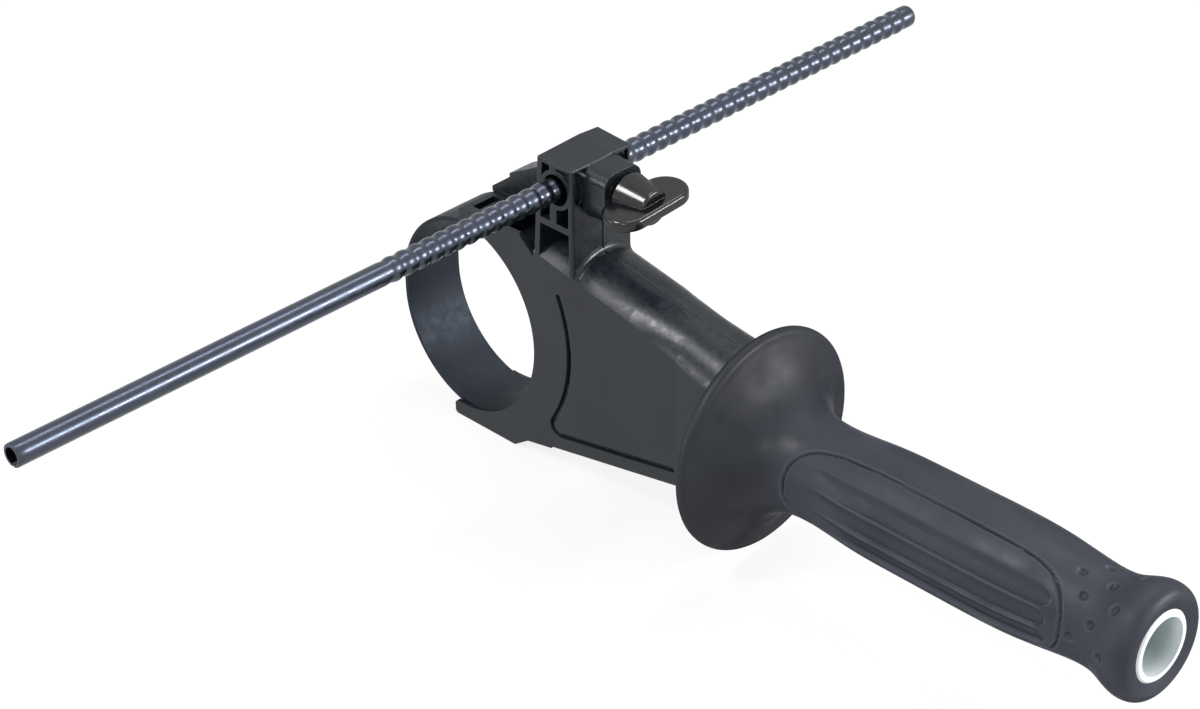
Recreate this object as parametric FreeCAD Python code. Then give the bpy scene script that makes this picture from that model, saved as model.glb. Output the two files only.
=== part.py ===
import FreeCAD, Part

import math
import os

# Side handle of a large rotary hammer, with a steel clamping strap and a depth gauge.
# The frame's origin is the centre of the tool neck that the strap closes round.
# +X runs along the handle to the grip's end, Y is the tool's own axis and +Z is up, towards the gauge rod.

V = FreeCAD.Vector
X_AXIS = V(1, 0, 0)
Y_AXIS = V(0, 1, 0)

# Driving dimensions in millimetres.
# Clearances
slide_gap = 0.3
running_gap = 0.05
side_gap = 0.25
edge_break = 0.6
overshoot = 1.0
edge_pick = 0.1

# Saddle of the base
half_width = 12.3
seat_r = 33.4
horn_tip_x = 2.2
horn_tip_thickness = 3.7
horn_shoulder_x = 27.8
horn_shoulder_z = 38.6
lower_tip_x = -2.8
lower_edge_z = -37.9
lower_corner_x = 23.9
lower_notch_x = 29.7
lower_notch_z = -34.0
horn_slope_length = 7.0
horn_slope_fall = 0.4
saddle_root_z = 31.5
saddle_overlap = 6.0
window_slot_x = 4.6
window_slot_width = 4.2
window_slot_near_y = -9.0
window_slot_far_y = 0.0
web_pocket_start_x = 19.0
web_pocket_rim = 1.4
web_pocket_floor = 1.8
lip_tip_break = 0.8
mouth_chamfer = 2.4

# Body of the base between the saddle and the grip
body_root_x = 34.0
body_end_x = 113.0
crest_root_z = 39.9
crest_end_z = 26.9
body_middle_x = 73.5
shoulder_root = 5.0
shoulder_middle = 6.0
shoulder_flare = 8.8
shoulder_end = 12.0
lower_end_z = -17.6
lower_round = 1.2
flare_start_x = 92.5
flare = 2.2
parting_line_width = 0.5
parting_line_rise = 0.3
panel_groove_depth = 1.3
panel_groove_width = 1.9
panel_groove_mouth = 1.4
panel_groove_floor = 0.6
panel_groove_top = (43.9, 24.0)
panel_groove_bow = (48.4, 6.0)
panel_groove_low = (41.0, -21.5)
panel_groove_corner = (41.4, -24.4)
panel_groove_turn_x = 44.0
panel_groove_end_x = 91.8
panel_groove_margin = 5.8

# Gauge holder on top of the base
holder_left_x = 36.9
holder_left_foot_x = 34.5
holder_right_x = 51.2
holder_top_z = 68.1
holder_roof_rise = 0.9
holder_foot_z = 30.0
holder_wall = 1.9
holder_roof = 1.4
holder_side_draft = 0.5
holder_roof_fall = 0.6
holder_roof_ridge_y = 4.5
holder_corner_round = 1.0
holder_edge_round = 0.5
holder_foot_round = 1.6
shelf_top_z = 48.2
shelf_thickness = 2.1
pocket_depth = 11.0
rib_x = 43.0
rib_thickness = 2.6
gusset_y = 3.0
gusset_foot_x = 0.6
gusset_foot_z = 38.0
gusset_step_x = 8.4
gusset_step_z = 44.0
gusset_step = 1.3
gusset_top_z = 61.4
corner_recess_depth = 4.6
corner_recess_wall = 1.5
corner_recess_low_z = 56.9
rod_bore_r = 4.9
bore_ring_wall = 1.4

# Depth rod, a rolled tube with ring beads along its far part
rod_x = 43.3
rod_z = 59.3
rod_r = 3.5
rod_wall = 1.0
rod_near_y = -206.0
rod_length = 351.5
rod_plain_length = 128.3
rod_bead_pitch = 4.83
rod_bead_rise = 0.25
rod_bead_dip = 0.2
rod_seam = 0.7
rod_tip_round = 1.6
rod_near_break = 0.4

# Thumb screw and its boss
boss_root_half = 7.9
boss_face_half = 7.4
boss_face_x = 59.5
boss_low_z = 48.4
boss_corner = 4.0
boss_draft = 0.8
boss_socket_r = 6.6
boss_socket_depth = 1.6
screw_r = 3.0
screw_nut_flats = 10.0
screw_nut_thickness = 5.0
pad_thickness = 1.8
pad_r = 2.9
knob_gap = 2.5
knob_root_r = 7.4
knob_tip_r = 5.3
knob_length = 10.4
knob_tip_round = 0.9
knob_socket_depth = 7.7
wing_thickness = 3.8
wing_half_span = 14.9
wing_lobe_r = 7.2
wing_centre_x = 68.6
wing_edge_round = 1.2
wing_rest_degrees = 3.5

# Strap and its anchor
strap_thickness = 1.3
strap_half_width = 10.7
strap_flat_inset = 9.3
strap_top_z = 2.0
strap_low_z = -2.1
strap_top_meet_degrees = 24.27
strap_low_meet_degrees = -67.7
strap_low_ratio = 2.43
pin_x = 47.5
pin_r = 4.0
knuckle_gap = 0.2
bolt_eye_half = 3.5
bolt_eye_r = 6.3
knuckle_width = 3.3
bend_r = 2.5

# Clamping bolt and its nut
bolt_r = 4.0
bolt_end_x = 152.0
nut_flats = 13.0
nut_thickness = 8.0
nut_face_inset = 0.2

# Grip
washer_thickness = 1.2
washer_r = 12.0
core_face_gap = 0.1
core_r = 10.8
core_wall = 2.0
core_hub_r = 14.0
core_hub_length = 13.0
core_hub_taper = 2.0
core_disc_r = 30.0
core_disc_thickness = 2.6
nut_seat_depth = 4.0
grip_end_x = 258.2
flange_r = 34.8
flange_gap = 0.4
flange_rim = 3.4
flange_round = 1.3
grip_waist_x = 137.0
grip_waist_r = 15.1
grip_belly_x = 198.0
grip_belly_r = 16.6
grip_neck_r = 14.2
grip_bead_r = 17.4
grip_bead_inset = 5.2
grip_neck_inset = 19.7
grip_end_round = 0.7
grip_lip = 1.2
grip_lip_depth = 0.5

# Sizes that follow from the ones above
channel_r = seat_r + strap_thickness + 2 * slide_gap
strap_outer_r = channel_r - slide_gap
channel_half = strap_half_width + side_gap
anchor_half_height = bolt_eye_r + slide_gap
anchor_end_x = pin_x + bolt_eye_r + overshoot
rod_far_y = rod_near_y + rod_length
rod_bead_start_y = rod_near_y + rod_plain_length
rod_ridge_r = rod_r + rod_bead_rise
rod_bore_x = rod_x + rod_bore_r - rod_ridge_r - slide_gap
rod_bore_ring_r = rod_bore_r + bore_ring_wall
knob_face_x = boss_face_x + knob_gap
core_face_x = body_end_x + washer_thickness + core_face_gap
nut_seat_x = core_face_x + nut_seat_depth
core_hub_end_x = core_face_x + core_hub_length
flange_back_x = body_end_x + flange_gap
grip_bead_x = grip_end_x - grip_bead_inset
grip_neck_x = grip_end_x - grip_neck_inset
eye_outer_r = pin_r + running_gap + strap_thickness
knuckle_start_x = pin_x - eye_outer_r - slide_gap
knuckle_end_x = pin_x + eye_outer_r + knuckle_gap
strap_left_x = strap_flat_inset - strap_outer_r
recess_inner_x = holder_right_x - corner_recess_depth


# Building blocks

def box(x0, x1, y0, y1, z0, z1):
    """A block between two corners."""
    return Part.makeBox(x1 - x0, y1 - y0, z1 - z0, V(x0, y0, z0))


def bar(radius, x0, x1, y=0.0, z=0.0):
    """A round bar along X."""
    return Part.makeCylinder(radius, x1 - x0, V(x0, y, z), X_AXIS)


def pin(radius, y0, y1, x=0.0, z=0.0):
    """A round bar along Y."""
    return Part.makeCylinder(radius, y1 - y0, V(x, y0, z), Y_AXIS)


def cone(r0, r1, x0, x1, z=0.0):
    """A round taper along X."""
    return Part.makeCone(r0, r1, x1 - x0, V(x0, 0, z), X_AXIS)


def slab(corners, thickness):
    """A flat outline of corners, made thick along a vector."""
    return Part.Face(Part.makePolygon(corners + corners[:1])).extrude(thickness)


def plate(outline, y0, y1):
    """A flat outline of (x, z) points, made thick along Y."""
    return slab([V(x, y0, z) for x, z in outline], V(0, y1 - y0, 0))


def bar_of(outline, x0, x1):
    """A flat outline of (y, z) points, made long along X."""
    return slab([V(x0, y, z) for y, z in outline], V(x1 - x0, 0, 0))


def turned(profile):
    """A solid of revolution about the X axis from a closed list of (x, radius) points."""
    points = [V(x, 0, r) for x, r in profile]
    face = Part.Face(Part.makePolygon(points + points[:1]))
    return face.revolve(V(0, 0, 0), X_AXIS, 360)


def hexagon(across_flats, x0, x1, z=0.0):
    """A hexagonal bar along X, with two flats level."""
    corner_r = across_flats / 2 / math.cos(math.pi / 6)
    corners = []
    for step in range(6):
        angle = step * math.pi / 3
        corners.append(V(x0, corner_r * math.cos(angle), z + corner_r * math.sin(angle)))
    face = Part.Face(Part.makePolygon(corners + corners[:1]))
    return face.extrude(V(x1 - x0, 0, 0))


def joined(shapes):
    """One clean solid from several that meet."""
    result = shapes[0].fuse(list(shapes[1:])) if len(shapes) > 1 else shapes[0]
    return result.removeSplitter()


def point_on(radius, degrees, centre_x=0.0, centre_z=0.0):
    """A point in the XZ plane at an angle from +X towards +Z."""
    angle = math.radians(degrees)
    return V(centre_x + radius * math.cos(angle), 0, centre_z + radius * math.sin(angle))


# Base of the handle

def crest_at(x):
    """Height of the body's crest at x."""
    return crest_root_z + (x - body_root_x) / (body_end_x - body_root_x) * (crest_end_z - crest_root_z)


def underside_at(x):
    """Height of the body's underside at x."""
    return lower_notch_z + (x - lower_notch_x) / (body_end_x - lower_notch_x) * (lower_end_z - lower_notch_z)


def shoulder_at(x):
    """Height of the body's arched top at x, from its flat sides to its crest."""
    if x < body_middle_x:
        share = (x - body_root_x) / (body_middle_x - body_root_x)
        return shoulder_root + share * (shoulder_middle - shoulder_root)
    share = (x - body_middle_x) / (flare_start_x - body_middle_x)
    return shoulder_middle + share * (shoulder_flare - shoulder_middle)


def body_section(x, half, shoulder):
    """Cross-section of the body at x: flat sides, an arched top and a flat underside with rounded corners."""
    low_z = underside_at(x)
    crest_z = crest_at(x)
    side_z = low_z + lower_round
    flat_y = half - lower_round
    corner = lower_round * (1 - math.sqrt(0.5))
    near_top = V(x, -half, crest_z - shoulder)
    far_top = V(x, half, crest_z - shoulder)
    edges = [
        Part.LineSegment(V(x, -half, side_z), near_top).toShape(),
        Part.Arc(near_top, V(x, 0, crest_z), far_top).toShape(),
        Part.LineSegment(far_top, V(x, half, side_z)).toShape(),
        Part.Arc(V(x, half, side_z), V(x, half - corner, low_z + corner), V(x, flat_y, low_z)).toShape(),
        Part.LineSegment(V(x, flat_y, low_z), V(x, -flat_y, low_z)).toShape(),
        Part.Arc(V(x, -flat_y, low_z), V(x, corner - half, low_z + corner), V(x, -half, side_z)).toShape(),
    ]
    return Part.Wire(edges)


def body():
    """The tapering arm between the saddle and the grip, whose top turns from a low arch to a half round."""
    sections = [body_section(x, half_width, shoulder_at(x)) for x in (body_root_x, body_middle_x, flare_start_x)]
    sections.append(body_section(body_end_x, half_width + flare, shoulder_end))
    return Part.makeLoft(sections, True, True)


def foot_section(x, rise):
    """Cross-section of the holder's rounded foot at x, which stands above the body's arch by rise."""
    half = half_width - holder_corner_round
    shoulder = shoulder_at(x)
    arch_r = (half_width ** 2 + shoulder ** 2) / (2 * shoulder)
    side_z = crest_at(x) - arch_r + math.sqrt(arch_r ** 2 - half ** 2)
    edges = [
        Part.Arc(V(x, -half, side_z + rise), V(x, 0, crest_at(x) + rise), V(x, half, side_z + rise)).toShape(),
        Part.LineSegment(V(x, half, side_z + rise), V(x, half, side_z - overshoot)).toShape(),
        Part.LineSegment(V(x, half, side_z - overshoot), V(x, -half, side_z - overshoot)).toShape(),
        Part.LineSegment(V(x, -half, side_z - overshoot), V(x, -half, side_z + rise)).toShape(),
    ]
    return Part.Wire(edges)


def holder_foot():
    """The hollow rounding between the holder's right side and the body's arched top."""
    sections = [foot_section(holder_right_x - overshoot, holder_foot_round)]
    for degrees in (0, 22.5, 45, 67.5, 90):
        turn = math.radians(degrees)
        x = holder_right_x + holder_foot_round * (1 - math.cos(turn))
        sections.append(foot_section(x, holder_foot_round * (1 - math.sin(turn))))
    return Part.makeLoft(sections, True, True)


def saddle():
    """The plate that holds the two horns, before the seat is cut into it."""
    tip_z = math.sqrt(seat_r ** 2 - horn_tip_x ** 2) + horn_tip_thickness
    outline = [
        (horn_tip_x, 0),
        (horn_tip_x, tip_z),
        (horn_shoulder_x - horn_slope_length, horn_shoulder_z - horn_slope_fall),
        (horn_shoulder_x, horn_shoulder_z),
        (holder_left_foot_x + overshoot, saddle_root_z),
        (body_root_x + saddle_overlap, saddle_root_z),
        (body_root_x + saddle_overlap, underside_at(body_root_x + saddle_overlap)),
        (lower_notch_x, lower_notch_z),
        (lower_corner_x, lower_edge_z),
        (lower_tip_x + lip_tip_break, lower_edge_z),
        (lower_tip_x, lower_edge_z + lip_tip_break),
        (lower_tip_x, -seat_r - lip_tip_break),
        (lower_tip_x + lip_tip_break, -seat_r),
        (lower_tip_x + lip_tip_break, 0),
    ]
    return plate(outline, -half_width, half_width)


def seat_cut():
    """Clears the neck, the strap's channel between the lips, and the mouth for the strap ends."""
    neck = pin(seat_r, -half_width - overshoot, half_width + overshoot)
    channel = pin(channel_r, -channel_half, channel_half)
    floor_x = math.sqrt(channel_r ** 2 - anchor_half_height ** 2)
    wide = anchor_half_height + mouth_chamfer
    mouth = plate([
        (floor_x - 2 * mouth_chamfer, wide + overshoot),
        (floor_x - slide_gap, wide),
        (floor_x + mouth_chamfer, anchor_half_height),
        (anchor_end_x, anchor_half_height),
        (anchor_end_x, -anchor_half_height),
        (floor_x + mouth_chamfer, -anchor_half_height),
        (floor_x - slide_gap, -wide),
        (floor_x - 2 * mouth_chamfer, -wide - overshoot),
    ], -channel_half, channel_half)
    window = box(window_slot_x, window_slot_x + window_slot_width, window_slot_near_y, window_slot_far_y,
                 0, horn_shoulder_z + overshoot)
    return joined([neck, channel, mouth]).fuse(window)


def web_pocket():
    """The hollow behind the near rim of the saddle, between the upper horn and the gauge holder."""
    hollow = box(web_pocket_start_x, holder_left_foot_x, -half_width + web_pocket_rim, gusset_y, 0, holder_top_z)
    return hollow.cut(pin(channel_r + web_pocket_floor, -half_width, half_width))


def holder_outline(inset, top, foot):
    """Outline of the gauge holder, whose left wall leans with the mould's draft."""
    lean = (holder_left_x - holder_left_foot_x) / (holder_top_z - holder_foot_z)
    return [
        (holder_left_foot_x + inset + lean * (foot - holder_foot_z), foot),
        (holder_left_foot_x + inset + lean * (top - holder_foot_z), top),
        (holder_right_x - inset, top),
        (holder_right_x - inset, foot),
    ]


def under_roof(depth=0.0):
    """All that lies under the holder's roof, or a depth below it: two slopes fall from a rising ridge."""
    edge_z = holder_top_z - holder_roof_fall - depth
    low_z = holder_foot_z - holder_roof_rise
    past_half = half_width + overshoot
    return slab([
        V(holder_right_x, -past_half, low_z),
        V(holder_right_x, -past_half, edge_z),
        V(holder_right_x, -half_width, edge_z),
        V(holder_right_x, holder_roof_ridge_y, holder_top_z - depth),
        V(holder_right_x, half_width, edge_z),
        V(holder_right_x, past_half, edge_z),
        V(holder_right_x, past_half, low_z),
    ], V(holder_left_foot_x - holder_right_x, 0, holder_roof_rise))


def holder_pockets(y0, y1):
    """The cored-out spaces on one face of the holder, round the ring, the shelf and the upright rib."""
    space = plate(holder_outline(holder_wall, holder_top_z + holder_roof_rise, holder_foot_z), y0, y1)
    space = space.common(under_roof(holder_roof))
    shelf = box(holder_left_foot_x, holder_right_x, y0, y1, shelf_top_z - shelf_thickness, shelf_top_z)
    rib = box(rib_x - rib_thickness / 2, rib_x + rib_thickness / 2, y0, y1, shelf_top_z, holder_top_z)
    ring = pin(rod_bore_ring_r, y0, y1, rod_bore_x, rod_z)
    bridge = box(rod_bore_x, holder_right_x, y0, y1, rod_z - rod_bore_r / 2, rod_z + rod_bore_r / 2)
    return space.cut([shelf, rib, ring, bridge])


def holder_block():
    """The holder before it is cored out: its roof and its right side each fall away to both sides of a ridge."""
    block = plate(holder_outline(0, holder_top_z + holder_roof_rise, holder_foot_z), -half_width, half_width)
    edge_x = holder_right_x - holder_side_draft
    sides = slab([
        V(holder_left_foot_x, -half_width, holder_foot_z),
        V(edge_x, -half_width, holder_foot_z),
        V(holder_right_x, 0, holder_foot_z),
        V(edge_x, half_width, holder_foot_z),
        V(holder_left_foot_x, half_width, holder_foot_z),
    ], V(0, 0, holder_top_z + holder_roof_rise - holder_foot_z))
    edge_z = holder_top_z - holder_roof_fall
    block = block.common(sides).common(under_roof())
    upright = [e for e in block.Edges if e.BoundBox.YLength < edge_pick and e.BoundBox.ZLength > holder_wall]
    corners = [e for e in upright if e.BoundBox.XMin > edge_x - edge_pick and abs(e.BoundBox.YMin) > holder_wall]
    block = block.makeFillet(holder_corner_round, corners)
    rims = [e for e in block.Edges if e.BoundBox.ZMin > edge_z - edge_pick]
    top_edges = [e for e in rims if e.BoundBox.YLength < edge_pick or e.BoundBox.XMax < holder_left_x + edge_pick]
    return block.makeFillet(holder_edge_round, top_edges)


def boss_section(x, half, top_z, low_z):
    """Cross-section of the boss at x: flat sides, a round underside and a flat top with rounded corners."""
    corner = boss_corner * (1 - math.sqrt(0.5))
    round_z = low_z + half
    side_z = top_z - boss_corner
    flat_y = half - boss_corner
    edges = [
        Part.Arc(V(x, -half, round_z), V(x, 0, low_z), V(x, half, round_z)).toShape(),
        Part.LineSegment(V(x, half, round_z), V(x, half, side_z)).toShape(),
        Part.Arc(V(x, half, side_z), V(x, half - corner, top_z - corner), V(x, flat_y, top_z)).toShape(),
        Part.LineSegment(V(x, flat_y, top_z), V(x, -flat_y, top_z)).toShape(),
        Part.Arc(V(x, -flat_y, top_z), V(x, corner - half, top_z - corner), V(x, -half, side_z)).toShape(),
        Part.LineSegment(V(x, -half, side_z), V(x, -half, round_z)).toShape(),
    ]
    return Part.Wire(edges)


def boss():
    """The boss that the thumb screw passes through, which narrows with the mould's draft."""
    top_z = holder_top_z - holder_roof_fall / 2
    root = boss_section(recess_inner_x - overshoot, boss_root_half, top_z, boss_low_z)
    face = boss_section(boss_face_x, boss_face_half, top_z - boss_draft, boss_low_z + boss_draft)
    return Part.makeLoft([root, face], True, True)


def corner_recess(side):
    """The deep recess between the boss and one side wall, with a floor that slants down to the boss."""
    wall_y = side * (half_width - corner_recess_wall)
    roof_z = holder_top_z - holder_roof
    recess = bar_of([
        (wall_y, roof_z),
        (wall_y, corner_recess_low_z),
        (0, boss_low_z),
        (0, roof_z),
    ], recess_inner_x, holder_right_x + overshoot)
    return recess.cut(pin(rod_bore_ring_r, -half_width, half_width, rod_bore_x, rod_z))


def holder():
    """The upright block that guides the depth rod and carries the thumb screw's boss."""
    near_pockets = holder_pockets(-half_width - overshoot, -half_width + pocket_depth)
    far_pockets = holder_pockets(half_width - pocket_depth, half_width + overshoot)
    shape = holder_block().cut([near_pockets, far_pockets, corner_recess(-1), corner_recess(1)])
    return joined([shape, boss()])


def holder_bores():
    """The rod's bore along Y, with the screw's bore, its wide mouth and the captive nut's pocket along X."""
    rod_bore = pin(rod_bore_r, -half_width - overshoot, half_width + overshoot, rod_bore_x, rod_z)
    screw_bore = bar(screw_r + slide_gap, rod_bore_x, boss_face_x + overshoot, 0, rod_z)
    mouth = bar(boss_socket_r, boss_face_x - boss_socket_depth, boss_face_x + overshoot, 0, rod_z)
    pocket_end = rod_bore_x + rod_bore_r + screw_nut_thickness + slide_gap
    nut_pocket = hexagon(screw_nut_flats + running_gap, rod_bore_x, pocket_end, rod_z)
    return rod_bore.fuse([screw_bore, mouth, nut_pocket])


def gusset():
    """The web that braces the far half of the holder against the upper horn."""
    outline = [
        (horn_tip_x, seat_r),
        (gusset_foot_x, gusset_foot_z - gusset_step),
        (gusset_foot_x, gusset_foot_z),
        (gusset_step_x, gusset_step_z),
        (gusset_step_x, gusset_step_z + gusset_step),
        (holder_left_x + overshoot, gusset_top_z),
        (holder_left_x + overshoot, holder_foot_z),
        (channel_r * math.sqrt(0.5), holder_foot_z),
    ]
    return plate(outline, gusset_y, half_width)


def panel_groove(side):
    """The groove round one side's flat panel: down the front, round the corner and along the underside."""
    face_y = side * half_width
    places = (panel_groove_top, panel_groove_bow, panel_groove_low, panel_groove_corner)
    top, middle, low, corner = [V(x, face_y, z) for x, z in places]
    turn = V(panel_groove_turn_x, face_y, underside_at(panel_groove_turn_x) + panel_groove_margin)
    end = V(panel_groove_end_x, face_y, underside_at(panel_groove_end_x) + panel_groove_margin)
    path = Part.Wire([
        Part.Arc(top, middle, low).toShape(),
        Part.Arc(low, corner, turn).toShape(),
        Part.LineSegment(turn, end).toShape(),
    ])
    mouth = panel_groove_width / 2 * panel_groove_mouth
    floor = panel_groove_width / 2 * panel_groove_floor
    tangent = path.Edges[0].tangentAt(path.Edges[0].FirstParameter)
    across = tangent.cross(Y_AXIS).normalize()
    depth = V(0, side * panel_groove_depth, 0)
    profile = Part.makePolygon([
        top + across * mouth + depth,
        top - across * mouth + depth,
        top - across * floor - depth,
        top + across * floor - depth,
        top + across * mouth + depth,
    ])
    return path.makePipeShell([profile], True, False, 2)


def parting_line():
    """The fine raised line that the mould's two halves leave along the crest and up the holder."""
    start = recess_inner_x
    half = parting_line_width / 2
    crest = plate([
        (start, crest_at(start) - overshoot),
        (start, crest_at(start) + parting_line_rise),
        (body_end_x, crest_at(body_end_x) + parting_line_rise),
        (body_end_x, crest_at(body_end_x) - overshoot),
    ], -half, half)
    upright = box(start, holder_right_x + parting_line_rise, -half, half,
                  crest_at(start) - overshoot, boss_low_z + overshoot)
    return crest.fuse(upright)


def clamp_base():
    """The one-piece nylon moulding: saddle, body, gusset and gauge holder."""
    shape = joined([body(), holder(), holder_foot(), saddle(), gusset(), parting_line()])
    bolt_bore = bar(bolt_r + slide_gap, pin_x, body_end_x + overshoot)
    shape = shape.cut([seat_cut(), web_pocket(), holder_bores(), bolt_bore])
    for side in (-1, 1):
        shape = shape.cut(panel_groove(side))
    return shape


# Clamping strap, its anchor pin and the bolt

def strip_of(there, back):
    """A strip of the strap between two arcs, each given by three points, the second in the other direction."""
    wire = Part.Wire([
        Part.Arc(*there).toShape(),
        Part.LineSegment(there[2], back[0]).toShape(),
        Part.Arc(*back).toShape(),
        Part.LineSegment(back[2], there[0]).toShape(),
    ])
    strip = Part.Face(wire).extrude(V(0, 2 * strap_half_width, 0))
    return strip.translated(V(0, -strap_half_width, 0))


def strip_between(start, heading, end):
    """A bent length of the strap: its outer face leaves start along heading, and bends inwards to end."""
    inward = heading.cross(Y_AXIS)
    chord = end - start
    radius = chord.dot(chord) / (2 * chord.dot(inward))
    centre = start + inward * radius
    middle = centre + ((start - centre) + (end - centre)).normalize() * radius
    outer = [start, middle, end]
    inner = [centre + (point - centre) * ((radius - strap_thickness) / radius) for point in reversed(outer)]
    return strip_of(outer, inner)


def blended_strips(start, heading, end, end_heading, ratio):
    """Two bent lengths that run smoothly from start to end; ratio sets how the turn is shared between them."""
    chord = end - start
    square = 2 * ratio * (1 - heading.dot(end_heading))
    slope = 2 * chord.dot(end_heading + heading * ratio)
    second = (math.sqrt(slope ** 2 + 4 * square * chord.dot(chord)) - slope) / (2 * square)
    first = ratio * second
    near = start + heading * first
    far = end - end_heading * second
    meet = (near * second + far * first) * (1 / (first + second))
    onward = (far - near).normalize()
    return [strip_between(start, heading, meet), strip_between(meet, onward, end)]


def arc_strip(outer_r, start, end, centre_x=0.0, centre_z=0.0, inward=True):
    """One round length of the strap, from its guiding surface inwards or outwards."""
    other_r = outer_r - strap_thickness if inward else outer_r + strap_thickness
    middle = (start + end) / 2
    there = [point_on(outer_r, a, centre_x, centre_z) for a in (start, middle, end)]
    back = [point_on(other_r, a, centre_x, centre_z) for a in (end, middle, start)]
    return strip_of(there, back)


def strap_end(side, start_angle):
    """One end of the strap: along the channel, round the mouth's edge and straight in to its eye on the pin."""
    inner_bend = bend_r - strap_thickness / 2
    bend_z = eye_outer_r + inner_bend
    reach = strap_outer_r + inner_bend
    bend_x = math.sqrt(reach ** 2 - bend_z ** 2)
    meet = math.degrees(math.asin(bend_z / reach))
    along = arc_strip(strap_outer_r, side * meet, start_angle)
    bend = arc_strip(inner_bend, side * (180 + meet), side * 270, bend_x, side * bend_z, False)
    low, high = sorted((side * eye_outer_r, side * (eye_outer_r - strap_thickness)))
    leg = box(bend_x, pin_x, -strap_half_width, strap_half_width, low, high)
    eye = pin(eye_outer_r, -strap_half_width, strap_half_width, pin_x, 0)
    loop = joined([along, bend, leg, eye])
    bore_half = strap_half_width + overshoot
    return loop.cut(pin(pin_r + running_gap, -bore_half, bore_half, pin_x, 0))


def clamp_strap():
    """The steel strap, bent to a loop, with two pairs of knuckles that share one pin."""
    down = V(0, 0, -1)
    leave = point_on(strap_outer_r, strap_top_meet_degrees)
    flat_top = V(strap_left_x, 0, strap_top_z)
    flat_low = V(strap_left_x, 0, strap_low_z)
    rejoin = point_on(strap_outer_r, strap_low_meet_degrees)
    inside = blended_strips(leave, point_on(1, strap_top_meet_degrees + 90), flat_top, down, 1.0)
    inside += blended_strips(flat_low, down, rejoin, point_on(1, strap_low_meet_degrees + 90), strap_low_ratio)
    inside.append(box(strap_left_x, strap_left_x + strap_thickness, -strap_half_width, strap_half_width,
                      strap_low_z, strap_top_z))
    inner_knuckle = bolt_eye_half + knuckle_gap
    outer_knuckle = inner_knuckle + knuckle_width
    cut_half = eye_outer_r + overshoot
    upper_half = outer_knuckle + knuckle_gap
    upper = strap_end(1, strap_top_meet_degrees)
    upper = upper.cut(box(knuckle_start_x, knuckle_end_x, -upper_half, upper_half, -cut_half, cut_half))
    lower = strap_end(-1, strap_low_meet_degrees)
    lower = lower.cut([
        box(knuckle_start_x, knuckle_end_x, -inner_knuckle, inner_knuckle, -cut_half, cut_half),
        box(knuckle_start_x, knuckle_end_x, outer_knuckle, half_width, -cut_half, cut_half),
        box(knuckle_start_x, knuckle_end_x, -half_width, -outer_knuckle, -cut_half, cut_half),
    ])
    return joined(inside + [upper, lower])


def anchor_pin():
    """The cross pin that holds both strap ends and the bolt's eye."""
    shape = pin(pin_r, -strap_half_width, strap_half_width, pin_x, 0)
    return shape.makeChamfer(edge_break, [e for e in shape.Edges if e.Closed])


def eye_bolt():
    """The bolt that draws the strap in, with a flat eye round the pin."""
    eye = pin(bolt_eye_r, -bolt_eye_half, bolt_eye_half, pin_x, 0)
    shank = bar(bolt_r, knuckle_end_x, bolt_end_x - edge_break)
    point = cone(bolt_r, bolt_r - edge_break, bolt_end_x - edge_break, bolt_end_x)
    neck = cone(bolt_r + knuckle_gap, bolt_r, knuckle_end_x, pin_x + bolt_eye_r + bolt_r / 2)
    shape = joined([eye, shank, neck, point])
    return shape.cut(pin(pin_r + running_gap, -bolt_eye_half - overshoot, bolt_eye_half + overshoot, pin_x, 0))


# Grip

def thrust_washer():
    """The steel washer that the grip turns against."""
    ring = bar(washer_r, body_end_x, body_end_x + washer_thickness)
    return ring.cut(bar(bolt_r + slide_gap, body_end_x - overshoot, body_end_x + washer_thickness + overshoot))


def grip_core():
    """The pale nylon tube inside the grip, with a hub for the nut and a disc that stiffens the flange."""
    outside = turned([
        (core_face_x, 0),
        (core_face_x, core_disc_r),
        (core_face_x + core_disc_thickness, core_disc_r),
        (core_face_x + core_disc_thickness, core_hub_r),
        (core_hub_end_x - core_hub_taper, core_hub_r),
        (core_hub_end_x, core_r),
        (grip_end_x - edge_break, core_r),
        (grip_end_x, core_r - edge_break),
        (grip_end_x, 0),
    ])
    tube_bore = bar(core_r - core_wall, core_hub_end_x, grip_end_x + overshoot)
    bolt_bore = bar(bolt_r + slide_gap, core_face_x - overshoot, nut_seat_x + overshoot)
    nut_pocket = hexagon(nut_flats, nut_seat_x, core_hub_end_x + overshoot)
    return outside.cut([tube_bore, bolt_bore, nut_pocket])


def grip_nut():
    """The nut pressed into the hub, which the bolt screws into."""
    blank = hexagon(nut_flats, nut_seat_x, nut_seat_x + nut_thickness)
    corner_r = nut_flats / 2 / math.cos(math.pi / 6)
    crown = turned([
        (nut_seat_x, 0),
        (nut_seat_x, nut_flats / 2 - nut_face_inset),
        (nut_seat_x + edge_break, corner_r),
        (nut_seat_x + nut_thickness - edge_break, corner_r),
        (nut_seat_x + nut_thickness, nut_flats / 2 - nut_face_inset),
        (nut_seat_x + nut_thickness, 0),
    ])
    bore = bar(bolt_r + running_gap, nut_seat_x - overshoot, nut_seat_x + nut_thickness + overshoot)
    return blank.common(crown).cut(bore)


def between(start, end, share):
    """A value part of the way from start to end."""
    return start + share * (end - start)


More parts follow.
